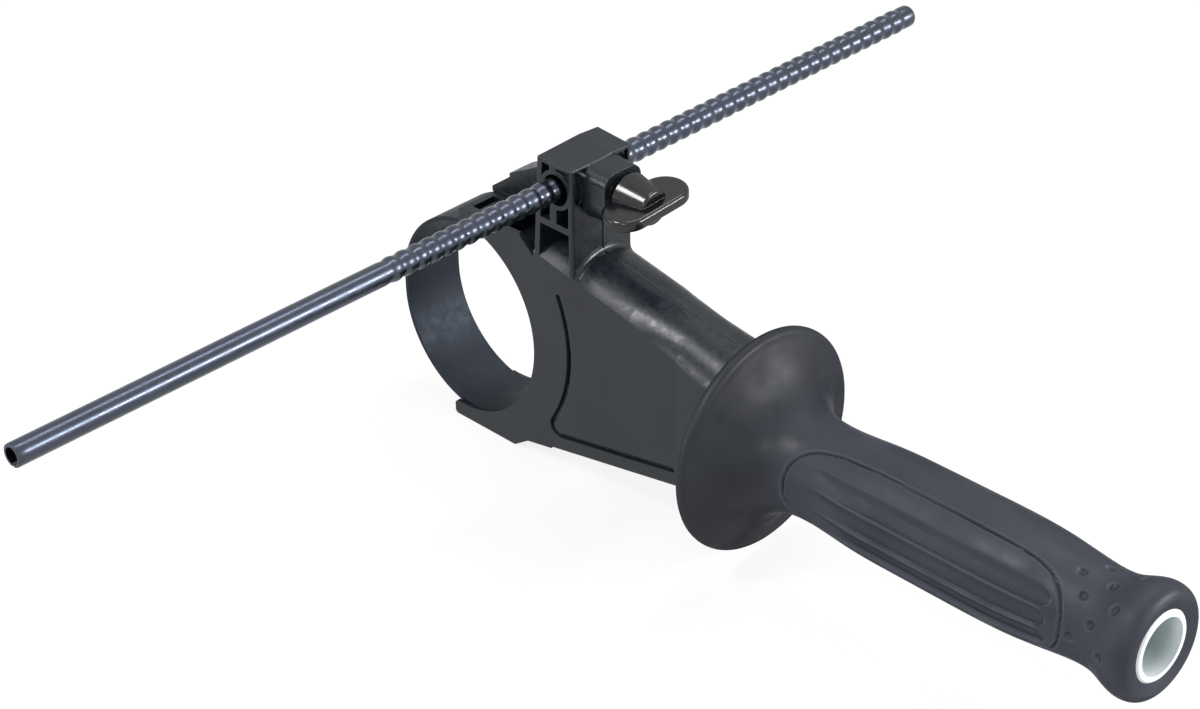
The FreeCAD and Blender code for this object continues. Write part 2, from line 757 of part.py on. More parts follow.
def sleeve_outline():
    """The sleeve's outer curve, as (x, radius) from the flange's face to the outer end."""
    face_x = flange_back_x + flange_rim
    bell = flange_r - grip_waist_r
    return [
        (face_x + 0.3, grip_waist_r + 0.92 * bell),
        (face_x + 2.1, grip_waist_r + 0.70 * bell),
        (face_x + 5.2, grip_waist_r + 0.42 * bell),
        (face_x + 9.6, grip_waist_r + 0.19 * bell),
        (face_x + 14.5, grip_waist_r + 0.056 * bell),
        (grip_waist_x, grip_waist_r),
        (between(grip_waist_x, grip_belly_x, 0.35), between(grip_waist_r, grip_belly_r, 0.6)),
        (between(grip_waist_x, grip_belly_x, 0.67), between(grip_waist_r, grip_belly_r, 0.9)),
        (grip_belly_x, grip_belly_r),
        (between(grip_belly_x, grip_neck_x, 0.52), between(grip_neck_r, grip_belly_r, 0.75)),
        (between(grip_belly_x, grip_neck_x, 0.8), between(grip_neck_r, grip_belly_r, 0.25)),
        (grip_neck_x, grip_neck_r),
        (between(grip_neck_x, grip_bead_x, 0.38), between(grip_neck_r, grip_bead_r, 0.16)),
        (between(grip_neck_x, grip_bead_x, 0.7), between(grip_neck_r, grip_bead_r, 0.66)),
        (grip_bead_x, grip_bead_r),
        (between(grip_bead_x, grip_end_x, 0.83), between(core_r, grip_bead_r, 0.86)),
        (grip_end_x + grip_end_round, between(core_r, grip_bead_r, 0.5)),
    ]


def grip_sleeve():
    """The soft moulded sleeve with its hand guard flange."""
    outline = [V(x, 0, r) for x, r in sleeve_outline()]
    curve = Part.BSplineCurve()
    curve.interpolate(outline)
    face_x = flange_back_x + flange_rim
    start = outline[0]
    end = outline[-1]
    corner = V(flange_back_x, 0, flange_r - flange_round)
    rim_back = V(flange_back_x + flange_round, 0, flange_r)
    rim_front = V(face_x - flange_round, 0, flange_r)
    corner_inset = flange_round * (1 - math.sqrt(0.5))
    back_middle = V(flange_back_x + corner_inset, 0, flange_r - corner_inset)
    front_middle = V(face_x - 0.3, 0, flange_r - 0.5)
    lip = V(grip_end_x, 0, core_r + grip_lip)
    inner = [
        V(grip_end_x - grip_lip_depth, 0, core_r),
        V(core_hub_end_x, 0, core_r),
        V(core_hub_end_x - core_hub_taper, 0, core_hub_r),
        V(core_face_x + core_disc_thickness, 0, core_hub_r),
        V(core_face_x + core_disc_thickness, 0, core_disc_r),
        V(flange_back_x, 0, core_disc_r),
    ]
    edges = [
        Part.LineSegment(inner[-1], corner).toShape(),
        Part.Arc(corner, back_middle, rim_back).toShape(),
        Part.LineSegment(rim_back, rim_front).toShape(),
        Part.Arc(rim_front, front_middle, start).toShape(),
        curve.toShape(),
        Part.LineSegment(end, lip).toShape(),
        Part.LineSegment(lip, inner[0]).toShape(),
    ]
    for here, there in zip(inner, inner[1:]):
        edges.append(Part.LineSegment(here, there).toShape())
    face = Part.Face(Part.Wire(Part.sortEdges(edges)[0]))
    return face.revolve(V(0, 0, 0), X_AXIS, 360)


# Depth rod

def depth_rod():
    """The rolled steel tube with ring beads, its open seam underneath and a rounded far end."""
    profile = [(rod_near_y, 0), (rod_near_y, rod_r - rod_near_break), (rod_near_y + rod_near_break, rod_r)]
    y = rod_bead_start_y
    while y + rod_bead_pitch < rod_far_y - 2 * rod_tip_round:
        profile.append((y, rod_r - rod_bead_dip))
        profile.append((y + rod_bead_pitch / 2, rod_ridge_r))
        y += rod_bead_pitch
    profile += [
        (y, rod_r - rod_bead_dip),
        (rod_far_y - rod_tip_round, rod_r),
        (rod_far_y - rod_tip_round * 0.3, rod_r - rod_tip_round * 0.3),
        (rod_far_y, rod_r - rod_tip_round),
        (rod_far_y, 0),
    ]
    points = [V(rod_x + r, y, rod_z) for y, r in profile]
    face = Part.Face(Part.makePolygon(points + points[:1]))
    shape = face.revolve(V(rod_x, 0, rod_z), Y_AXIS, 360)
    bore = pin(rod_r - rod_wall, rod_near_y - overshoot, rod_far_y + overshoot, rod_x, rod_z)
    seam = box(rod_x - rod_seam / 2, rod_x + rod_seam / 2, rod_near_y - overshoot, rod_far_y + overshoot,
               rod_z - rod_ridge_r - overshoot, rod_z)
    return shape.cut([bore, seam])


# Thumb screw

def pressure_pad():
    """The small pad on the screw's tip, which holds the thin rod without denting it."""
    start = rod_x + rod_ridge_r + slide_gap
    return bar(pad_r, start, start + pad_thickness, 0, rod_z)


def thumb_stud():
    """The threaded stud moulded into the knob."""
    start = rod_x + rod_ridge_r + slide_gap + pad_thickness
    end = knob_face_x + knob_socket_depth
    tip = cone(screw_r - edge_break, screw_r, start, start + edge_break, rod_z)
    return joined([tip, bar(screw_r, start + edge_break, end, 0, rod_z)])


def thumb_nut():
    """The captive nut that the stud screws through."""
    start = rod_bore_x + rod_bore_r
    blank = hexagon(screw_nut_flats, start, start + screw_nut_thickness, rod_z)
    end = start + screw_nut_thickness
    return blank.cut(bar(screw_r + running_gap, start - overshoot, end + overshoot, 0, rod_z))


def thumb_knob():
    """The moulded wing knob: a tapered barrel with a flat wing through it."""
    tip_x = knob_face_x + knob_length
    barrel = cone(knob_root_r, knob_tip_r, knob_face_x, tip_x, rod_z)
    barrel = barrel.makeFillet(knob_tip_round, [e for e in barrel.Edges if e.BoundBox.XMin > tip_x - edge_break])
    half_straight = wing_half_span - wing_lobe_r
    low = rod_z - wing_thickness / 2
    centres = [V(wing_centre_x, side * half_straight, low) for side in (-1, 1)]
    lobes = [Part.makeCylinder(wing_lobe_r, wing_thickness, centre) for centre in centres]
    middle = box(wing_centre_x - wing_lobe_r, wing_centre_x + wing_lobe_r, -half_straight, half_straight,
                 low, low + wing_thickness)
    wing = joined(lobes + [middle])
    rims = [e for e in wing.Edges if e.BoundBox.ZLength < 0.01]
    wing = wing.makeFillet(wing_edge_round, rims)
    wing.rotate(V(0, 0, rod_z), X_AXIS, wing_rest_degrees)
    shape = joined([barrel, wing])
    return shape.cut(bar(screw_r, knob_face_x - overshoot, knob_face_x + knob_socket_depth, 0, rod_z))


def save(name, shape):
    """Writes one piece as a STEP file."""
    shape.exportStep("parts/" + name + ".step")
    print(name, "solids", len(shape.Solids), "valid", shape.isValid(), "volume", round(shape.Volume, 1))


def main():
    os.makedirs("parts", exist_ok=True)
    save("clamp_base", clamp_base())
    save("clamp_strap", clamp_strap())
    save("anchor_pin", anchor_pin())
    save("eye_bolt", eye_bolt())
    save("thrust_washer", thrust_washer())
    save("grip_core", grip_core())
    save("grip_nut", grip_nut())
    save("grip_sleeve", grip_sleeve())
    save("depth_rod", depth_rod())
    save("pressure_pad", pressure_pad())
    save("thumb_stud", thumb_stud())
    save("thumb_nut", thumb_nut())
    save("thumb_knob", thumb_knob())


main()
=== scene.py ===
import math

import bmesh
import bpy
from mathutils import Matrix, Vector
from mathutils.kdtree import KDTree


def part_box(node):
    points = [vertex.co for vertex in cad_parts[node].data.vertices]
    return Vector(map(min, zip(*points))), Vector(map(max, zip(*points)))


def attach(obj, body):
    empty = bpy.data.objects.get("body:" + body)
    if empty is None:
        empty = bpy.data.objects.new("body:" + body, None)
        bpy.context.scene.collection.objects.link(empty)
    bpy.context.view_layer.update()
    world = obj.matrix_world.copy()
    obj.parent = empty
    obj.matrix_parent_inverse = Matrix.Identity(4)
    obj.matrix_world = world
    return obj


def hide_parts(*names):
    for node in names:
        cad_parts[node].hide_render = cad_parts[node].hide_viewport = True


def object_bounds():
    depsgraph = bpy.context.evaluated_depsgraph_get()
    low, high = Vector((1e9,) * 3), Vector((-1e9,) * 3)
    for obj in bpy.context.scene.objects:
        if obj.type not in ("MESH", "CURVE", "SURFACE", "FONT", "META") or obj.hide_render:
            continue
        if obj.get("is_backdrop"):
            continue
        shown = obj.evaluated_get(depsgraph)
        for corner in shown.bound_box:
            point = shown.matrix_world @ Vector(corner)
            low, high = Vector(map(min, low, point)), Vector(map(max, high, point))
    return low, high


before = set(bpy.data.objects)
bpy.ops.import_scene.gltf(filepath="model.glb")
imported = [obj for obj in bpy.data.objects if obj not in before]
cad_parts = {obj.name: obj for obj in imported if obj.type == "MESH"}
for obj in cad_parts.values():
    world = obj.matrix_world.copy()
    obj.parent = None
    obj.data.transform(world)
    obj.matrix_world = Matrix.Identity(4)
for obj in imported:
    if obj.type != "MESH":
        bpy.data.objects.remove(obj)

# Looks of a rotary hammer's side handle: a moulded base with a steel neck strap,
# a soft grip on a pale core, and a beaded depth rod held by a wing screw.

bl_info = {
    "name": "Side handle",
    "version": (1, 0, 0),
    "blender": (4, 5, 0),
    "location": "3D View > Sidebar > Side handle",
    "description": "Dresses the side handle of a rotary hammer and sets up its studio",
    "category": "Object",
}

MM = 0.001
PHOTO_WIDTH = 1200
# Points of one mesh that lie this near to each other, in millimetres, are the same point.
SAME_POINT = 0.002


def linear(code):
    """The linear colour of a hex code such as #3c3e48, which is in sRGB."""
    values = [int(code[i:i + 2], 16) / 255 for i in (1, 3, 5)]
    return tuple(v / 12.92 if v <= 0.04045 else ((v + 0.055) / 1.055) ** 2.4 for v in values)


def colour(label, about, code):
    """A colour property with its default from a hex code."""
    return bpy.props.FloatVectorProperty(
        name=label, description=about, subtype="COLOR", size=3, min=0, max=1, default=linear(code))


def length(label, about, millimetres):
    """A length property with its default in millimetres."""
    return bpy.props.FloatProperty(
        name=label, description=about, subtype="DISTANCE", unit="LENGTH", min=0, default=millimetres * MM)


def angle(label, about, degrees):
    """An angle property with its default in degrees."""
    return bpy.props.FloatProperty(
        name=label, description=about, subtype="ANGLE", unit="ROTATION", default=math.radians(degrees))


def share(label, about, value):
    """A plain number between nought and one."""
    return bpy.props.FloatProperty(
        name=label, description=about, subtype="FACTOR", min=0, max=1, default=value)


class HandleFinish(bpy.types.PropertyGroup):
    """Colours and gloss of the handle's materials."""
    nylon: colour("Base nylon", "Body, saddle and gauge holder", "#1b2026")
    nylon_roughness: share("Base roughness", "Grain of the moulded base", 0.3)
    rubber: colour("Grip rubber", "Soft sleeve", "#2e313a")
    # The hand guard's darker, less blue tone is a painted shade.
    guard: colour("Hand guard rubber", "Darker, duller skin of the hand guard", "#1d2026")
    rubber_roughness: share("Grip roughness", "Matt skin of the sleeve", 0.5)
    core: colour("Core nylon", "Pale tube inside the grip", "#e6ebee")
    # The bore's grey is a painted shade that deepens inside the open end.
    bore_shade: colour("Core bore", "Dusty wall of the tube's bore", "#bcc6c8")
    rod: colour("Rod steel", "Chromated depth rod", "#484d58")
    strap: colour("Strap steel", "Dark strap round the neck", "#30343b")
    zinc: colour("Zinc steel", "Bolt, pin, washer and nuts", "#a3a8ab")
    knob: colour("Knob nylon", "Polished wing knob", "#0d0e11")
    pad: colour("Pad brass", "Pressure pad", "#b49a55")


class HandleSizes(bpy.types.PropertyGroup):
    """Sizes of the detail that the looks add to the frame."""
    groove_half: length("Panel line half width", "Half the width of the line round a grip panel", 0.42)
    groove_depth: length("Panel line depth", "Depth of the line round a grip panel", 0.85)
    recess_depth: length("Recess depth", "Depth of the three finger recesses", 1.25)
    dimple_radius: length("Dimple radius", "Radius of the dimples by the grip's end", 1.6)
    dimple_depth: length("Dimple depth", "Depth of the dimples by the grip's end", 0.95)
    grip_turn: angle("Grip turn", "How far the grip's panels are turned from level", 6)
    bead_pitch: length("Bead pitch", "Distance from one rod bead to the next", 4.83)
    bead_rise: length("Bead rise", "Height of a bead above the valleys beside it", 0.44)


class HandleStage(bpy.types.PropertyGroup):
    """Camera and studio."""
    azimuth: angle("Camera azimuth", "Round the handle from the near side", 45.38)
    elevation: angle("Camera elevation", "Above the horizon", 31.94)
    roll: angle("Camera roll", "Tilt of the picture", -0.73)
    distance: length("Camera distance", "From the aim point to the camera", 1023.1)
    focal_pixels: bpy.props.FloatProperty(
        name="Focal length", description="In pixels of the photograph's width", default=3414.06)
    floor: colour("Floor", "Pale studio floor", "#e9e9e9")


# Node and mesh tools

def add(tree, kind, values=None, links=None, **settings):
    """Adds a node, sets its properties and sockets, and links what feeds it."""
    item = tree.nodes.new(kind)
    for name, value in settings.items():
        setattr(item, name, value)
    for name, value in (values or {}).items():
        item.inputs[name].default_value = value
    for name, source in (links or {}).items():
        tree.links.new(source, item.inputs[name])
    return item


def blank_material(name):
    """A new material with an empty node tree."""
    material = bpy.data.materials.new(name)
    material.use_nodes = True
    material.node_tree.nodes.clear()
    return material, material.node_tree


def opaque(rgb):
    """A colour socket's value."""
    return (*rgb, 1.0)


def shade(rgb, factor):
    """A lighter or darker tone of a colour."""
    return tuple(min(1.0, v * factor) for v in rgb)


def per_mm(size):
    """The scale at which a pattern on Object coordinates repeats about every size millimetres."""
    return 1.0 / (size * MM)


def finish_of(name):
    """One of the user's colours or roughness values."""
    return getattr(bpy.context.scene.side_handle_finish, name)


# What every surface shares: the size of its tone's drift in millimetres and how far its tones stray. A noise
# seldom leaves the middle of its range, so that middle is stretched to the full.
TONE_SIZE = 18
TONE_RANGE = {"From Min": 0.35, "From Max": 0.65}
TONE_SPREAD = 0.08
# The tones of the painted shade at an end stray this far.
END_SPREAD = 0.2
GLOSS_RANGE = {"From Min": 0.3, "From Max": 0.7}
# How much paler the painted highlight makes the tone on the lips.
LIP_GLINT_LIFT = 1.75
# From how flat a glance to how flat a one the mirrored share fades, and how much of it is left then.
SHEEN_RANGE = {"From Min": 0.25, "From Max": 0.75}
SHEEN_LEFT = 0.1


def two_tones(tree, rgb, spread, blend):
    """A mix of a darker and a lighter tone of a colour, by a value from nought to one."""
    tones = {"Color1": opaque(shade(rgb, 1 - spread)), "Color2": opaque(shade(rgb, 1 + spread))}
    return add(tree, "ShaderNodeMixRGB", tones, {"Fac": blend}).outputs["Color"]


def surface(name, rgb, roughness, grain, grain_depth, mottle=1.0, round_edge=0.0, patch=3.0, uneven=0.06,
            end_shade_rgb=None, ends=(0, 1), worn=None, sheen=None, **shader):
    """A moulded or metal skin: a tone that drifts a little, uneven gloss and a fine raised grain.
    Grain, its depth, patches, rounded edges and ends are in millimetres. With an end colour, the tone turns
    to
    that colour along X between the two ends: a painted shade. With a glint attribute named, the tone is paler
    where the mesh's attribute of that name is high: a painted highlight. With sheen, that specular level
    fades at a flat glance."""
    material, tree = blank_material(name)
    place = add(tree, "ShaderNodeTexCoord").outputs["Object"]
    drift = add(tree, "ShaderNodeTexNoise", {"Scale": per_mm(TONE_SIZE), "Detail": 3.0}, {"Vector": place})
    blend = add(tree, "ShaderNodeMapRange", TONE_RANGE, {"Value": drift.outputs["Fac"]}).outputs["Result"]
    tone = two_tones(tree, rgb, TONE_SPREAD * mottle, blend)
    # A painted shade: towards one end the tone turns along X to a darker colour.
    if end_shade_rgb:
        along = add(tree, "ShaderNodeSeparateXYZ", None, {"Vector": place}).outputs["X"]
        far = add(tree, "ShaderNodeMapRange", {"From Min": ends[0] * MM, "From Max": ends[1] * MM},
                  {"Value": along}, interpolation_type="SMOOTHSTEP").outputs["Result"]
        end_shade_tone = two_tones(tree, end_shade_rgb, END_SPREAD * mottle, blend)
        tone = add(tree, "ShaderNodeMixRGB", None,
                   {"Fac": far, "Color1": tone, "Color2": end_shade_tone}).outputs["Color"]
    # A painted highlight: the tone turns paler where the mesh marks the lips of the hollows.
    if worn:
        glint_share = add(tree, "ShaderNodeAttribute", attribute_name=worn).outputs["Fac"]
        tone = add(tree, "ShaderNodeMixRGB", {"Color2": opaque(shade(rgb, LIP_GLINT_LIFT))},
                   {"Fac": glint_share, "Color1": tone}).outputs["Color"]
    patches = add(tree, "ShaderNodeTexNoise", {"Scale": per_mm(patch), "Detail": 3.0}, {"Vector": place})
    gloss = add(tree, "ShaderNodeMapRange",
                {**GLOSS_RANGE, "To Min": roughness - uneven, "To Max": roughness + uneven},
                {"Value": patches.outputs["Fac"]})
    speck = add(tree, "ShaderNodeTexNoise", {"Scale": per_mm(grain), "Detail": 2.0}, {"Vector": place})
    bump = add(tree, "ShaderNodeBump", {"Strength": 1.0, "Distance": grain_depth * MM},
               {"Height": speck.outputs["Fac"]})
    if round_edge:
        bevel = add(tree, "ShaderNodeBevel", {"Radius": round_edge * MM}, samples=6)
        tree.links.new(bevel.outputs["Normal"], bump.inputs["Normal"])
    skin = add(tree, "ShaderNodeBsdfPrincipled", shader,
               {"Base Color": tone, "Roughness": gloss.outputs["Result"], "Normal": bump.outputs["Normal"]})
    if sheen:
        glance = add(tree, "ShaderNodeLayerWeight", {"Blend": 0.5}).outputs["Facing"]
        level = add(tree, "ShaderNodeMapRange",
                    {**SHEEN_RANGE, "To Min": sheen, "To Max": SHEEN_LEFT * sheen},
                    {"Value": glance}, interpolation_type="SMOOTHSTEP")
        tree.links.new(level.outputs["Result"], skin.inputs["Specular IOR Level"])
    add(tree, "ShaderNodeOutputMaterial", None, {"Surface": skin.outputs["BSDF"]})
    return material


def glass_filled_nylon():
    """Charcoal glass-filled nylon, injection moulded against a spark-eroded tool.
    The grain softens every reflection to a broad satin sheen. A real one is about 0.1 mm, which is too fine
    to show, so it is drawn at 0.6 mm."""
    return surface("glass_filled_nylon", finish_of("nylon"), finish_of("nylon_roughness"), 0.6, 0.009,
                   round_edge=0.4, patch=2.2, uneven=0.1, sheen=0.32, IOR=1.53)


def soft_elastomer():
    """Thermoplastic elastomer moulded over the core. Its skin is matt and faintly blue, with a fine leathery
    tooth, drawn at 0.45 mm so that it shows. The lips of its hollows are painted paler as a highlight, and
    the hand guard is painted darker and less blue as a shade."""
    return surface("soft_elastomer", finish_of("rubber"), finish_of("rubber_roughness"), 0.45, 0.014, 1.6,
                   patch=9, uneven=0.12, end_shade_rgb=finish_of("guard"), ends=(142, 122), worn="worn_edge",
                   sheen=0.26)


def natural_nylon():
    """Undyed white nylon, smooth from a polished core pin.
    A painted shade greys the bore just inside the open end."""
    return surface("natural_nylon", finish_of("core"), 0.34, 1.2, 0.008, 0.25, end_shade_rgb=finish_of("bore_shade"),
                   ends=(258.6, 253), IOR=1.53)


def plated_steel():
    """Rolled steel tube in a dark blue chromate over zinc: a deep metal tone with crisp streaks of light."""
    return surface("chromated_steel", finish_of("rod"), 0.3, 0.6, 0.0005, 0.8, Metallic=1.0)


def oxidised_strip():
    """Spring steel strip, blued dark after bending. It is a satin metal with almost no colour."""
    return surface("blued_strip", finish_of("strap"), 0.58, 0.5, 0.01, 0.8, round_edge=0.2, Metallic=1.0)


def zinc_hardware():
    """Cold-headed steel with bright zinc plate, for the bolt, pin, washer and nuts."""
    return surface("bright_zinc", finish_of("zinc"), 0.3, 0.5, 0.008, 0.8, Metallic=1.0)


def polished_nylon():
    """Black nylon from a polished tool, so the knob shows crisp streaks of the studio lights."""
    return surface("polished_nylon", finish_of("knob"), 0.17, 1.5, 0.004, 1.0, round_edge=0.3, uneven=0.03,
                   sheen=0.46, IOR=1.53)


def turned_brass():
    """Plain turned brass, dulled by handling."""
    return surface("turned_brass", finish_of("pad"), 0.32, 0.4, 0.006, 0.8, Metallic=1.0)


def dress(names, material):
    """Gives CAD nodes one material in every slot."""
    for name in names:
        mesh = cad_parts[name].data
        if not mesh.materials:
            mesh.materials.append(material)
        for index in range(len(mesh.materials)):
            mesh.materials[index] = material


def new_piece(name, build, material, body, slot, *replaced):
    """Turns a finished bmesh into a piece that rides on its body and stands for its CAD nodes."""
    mesh = bpy.data.meshes.new(name)
    build.to_mesh(mesh)
    build.free()
    mesh.materials.append(material)
    piece = bpy.data.objects.new(name, mesh)
    bpy.context.scene.collection.objects.link(piece)
    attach(piece, body)
    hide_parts(*replaced)


def shade_smooth(build, crease_degrees):
    """Smooth shading, with the edges that turn more than the crease kept sharp."""
    limit = math.radians(crease_degrees)
    for face in build.faces:
        face.smooth = True
    for edge in build.edges:
        if len(edge.link_faces) == 2 and edge.calc_face_angle(0.0) > limit:
            edge.smooth = False


def seam_outline(node):
    """The section of a turned CAD node in the half plane above its axis, as (x, radius) points in order."""
    build = bmesh.new()
    build.from_mesh(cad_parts[node].data)
    bmesh.ops.remove_doubles(build, verts=build.verts, dist=SAME_POINT * MM)
    on_seam = {v for v in build.verts if abs(v.co.y) < SAME_POINT * MM and v.co.z > 0}
    edges = [e for e in build.edges if e.verts[0] in on_seam and e.verts[1] in on_seam]
    around = {}
    for edge in edges:
        first, second = edge.verts
        around.setdefault(first, []).append(second)
        around.setdefault(second, []).append(first)
    start = min(around, key=lambda v: (v.co.x, v.co.z))
    loop = [start]
    step = max(around[start], key=lambda v: v.co.z)
    while step is not start:
        loop.append(step)
        onward = [v for v in around[step] if v is not loop[-2]]
        if not onward:
            raise RuntimeError("the seam of " + node + " isn't a closed loop")
        step = onward[0]
    points = [(v.co.x, v.co.z) for v in loop]
    build.free()
    return points


def turn_at(points, index):
    """How far a closed outline turns at one of its points, in radians."""
    before, here, after = (Vector(points[(index + k) % len(points)]) for k in (-1, 0, 1))
    into, out = here - before, after - here
    return into.angle(out) if into.length and out.length else 0.0


def smooth_run(run, spacing):
    """Evenly spaced points on the smooth curve through a run of points."""
    points = [Vector(p) for p in run]
    if len(points) < 3:
        return points
    spans = [(b - a).length for a, b in zip(points, points[1:])]
    slopes = [(b - a) / s for a, b, s in zip(points, points[1:], spans)]
    tangents = [slopes[0]]
    for i in range(1, len(points) - 1):
        tangents.append((slopes[i - 1] * spans[i] + slopes[i] * spans[i - 1]) / (spans[i - 1] + spans[i]))
    tangents.append(slopes[-1])
    total = sum(spans)
    count = max(2, round(total / spacing))
    result = []
    piece, passed = 0, 0.0
    for k in range(count + 1):
        goal = min(total * k / count, total * (1 - 1e-9))
        while passed + spans[piece] < goal:
            passed += spans[piece]
            piece += 1
        t = (goal - passed) / spans[piece]
        h = spans[piece]
        a, b = points[piece], points[piece + 1]
        near = a * (2 * t ** 3 - 3 * t ** 2 + 1) + tangents[piece] * h * (t ** 3 - 2 * t ** 2 + t)
        result.append(near + b * (3 * t ** 2 - 2 * t ** 3) + tangents[piece + 1] * h * (t ** 3 - t ** 2))
    return result


def resampled(points, spacing, corner_degrees=22):
    """A closed outline with evenly spaced points on its smooth stretches and its corners kept."""
    corners = [i for i in range(len(points)) if turn_at(points, i) > math.radians(corner_degrees)]
    result = []
    for here, there in zip(corners, corners[1:] + [corners[0] + len(points)]):
        run = [points[i % len(points)] for i in range(here, there + 1)]
        result += smooth_run(run, spacing)[:-1]
    return result


# Grip sleeve

# Distances round the grip are measured at this radius, in millimetres.
GRIP_RADIUS = 16.4
# Columns of faces round the sleeve, few enough to keep it under 200,000 triangles. Then, in millimetres, how
# far apart its rings lie along the outline, and the points round a panel.
COLUMNS = 284
RING_SPACING = 0.5
LOOP_SPACING = 0.3
# How far before and after a panel the skin is still worked, and the radius below which it never is, in
# millimetres.
WORKED_BEFORE = 3
WORKED_AFTER = 22
UNWORKED_RADIUS = 12.5
# A point that stands this far above its neighbours, in millimetres, gets the full painted highlight.
FULL_GLINT_RISE = 0.08

# One grip panel, as half of its outline in (mm along X, degrees from the panel's centre line).
PANEL_HALF = [
    (136.6, 0), (136.8, 12), (137.9, 28), (139.6, 38), (143.2, 49), (149.9, 56.5), (160, 58.7), (180, 59),
    (205, 58.5), (216, 57.8), (222.4, 55.5), (227.4, 49.5), (231, 39), (233.5, 23), (234.6, 8), (234.7, 0),
]

# The finger recesses: x of their two ends in mm, and the angle of each one's upper edge from the centre line.
RECESS_ENDS = (142.6, 230.2)
RECESS_EDGES = (36.6, 12.2, -12.2)
# In degrees: a recess's height, the part of it that slopes down, and the short step up at its lower edge.
RECESS_SPAN = 24.4
RECESS_SLOPE = 11.0
RECESS_STEP = 2.2
# In millimetres: how far both ends draw in at a recess's edges, how long they rise, and how far the start
# trails.
RECESS_INSET = 3.4
RECESS_START_RISE = 1.5
RECESS_END_RISE = 1.0
RECESS_TRAIL = 24

# Staggered dimples on the neck between the panel and the end bead: columns in degrees, with two places each
# in millimetres, and the neck's radius.
DIMPLE_STEP = 24.6
DIMPLE_FIRST = -28.5
DIMPLE_COLUMNS = 6
DIMPLE_X = ((233.5, 243.7), (237.9, 249.4))
NECK_RADIUS = 14.6
# The shares of a dimple's radius at which its floor ends and its wall does.
DIMPLE_WALL = (0.4, 1.1)
# The panel's tip takes the place of the dimples below this x and nearer than this angle to the centre line.
TIP_X = 236
TIP_ANGLE = 30


def panel_loop():
    """Points round a panel's outline, as (x, distance round the grip) in metres."""
    half = [(x * MM, math.radians(a) * (GRIP_RADIUS * MM)) for x, a in PANEL_HALF]
    whole = half + [(x, -s) for x, s in reversed(half[1:-1])]
    return smooth_run(whole + whole[:1], LOOP_SPACING * MM)


def ramp(value, low, high):
    """A smooth step from nought at low to one at high."""
    t = min(1.0, max(0.0, (value - low) / (high - low)))
    return t * t * (3 - 2 * t)


def within_panel(degrees):
    """An angle round the grip, brought to a quarter turn either side of the nearer panel's centre line."""
    return (degrees + 90) % 180 - 90


def recess_profile(turned):
    """Share of a recess's depth, by the degrees since its upper edge.
    A slope eases out on to a floor, and a short step leads up again."""
    slope = min(1.0, turned / RECESS_SLOPE)
    return slope * (1.5 - 0.5 * slope ** 2) * (1 - ramp(turned, RECESS_SPAN - RECESS_STEP, RECESS_SPAN))


def recess_at(x, degrees):
    """Share of a recess's depth at a place on the panel, in millimetres and degrees."""
    start, end = RECESS_ENDS
    for edge in RECESS_EDGES:
        turned = edge - degrees
        if 0 < turned < RECESS_SPAN:
            passed = turned / RECESS_SPAN
            inset = RECESS_INSET * (abs(passed - 0.5) * 2) ** 2
            trail = RECESS_TRAIL * passed
            opening = ramp(x, start + inset, start + inset + RECESS_START_RISE + trail)
            closing = ramp(x, end - inset - RECESS_END_RISE, end - inset)
            return recess_profile(turned) * (opening * (1 - closing))
    return 0.0


def dimple_places():
    """Centres of the dimples on one half of the grip, as (mm along X, degrees from the centre line)."""
    places = []
    for column in range(DIMPLE_COLUMNS):
        degrees = DIMPLE_FIRST + DIMPLE_STEP * column
        for x in DIMPLE_X[column % 2]:
            if x >= TIP_X or abs(degrees) >= TIP_ANGLE:
                places.append((x, degrees))
    return places


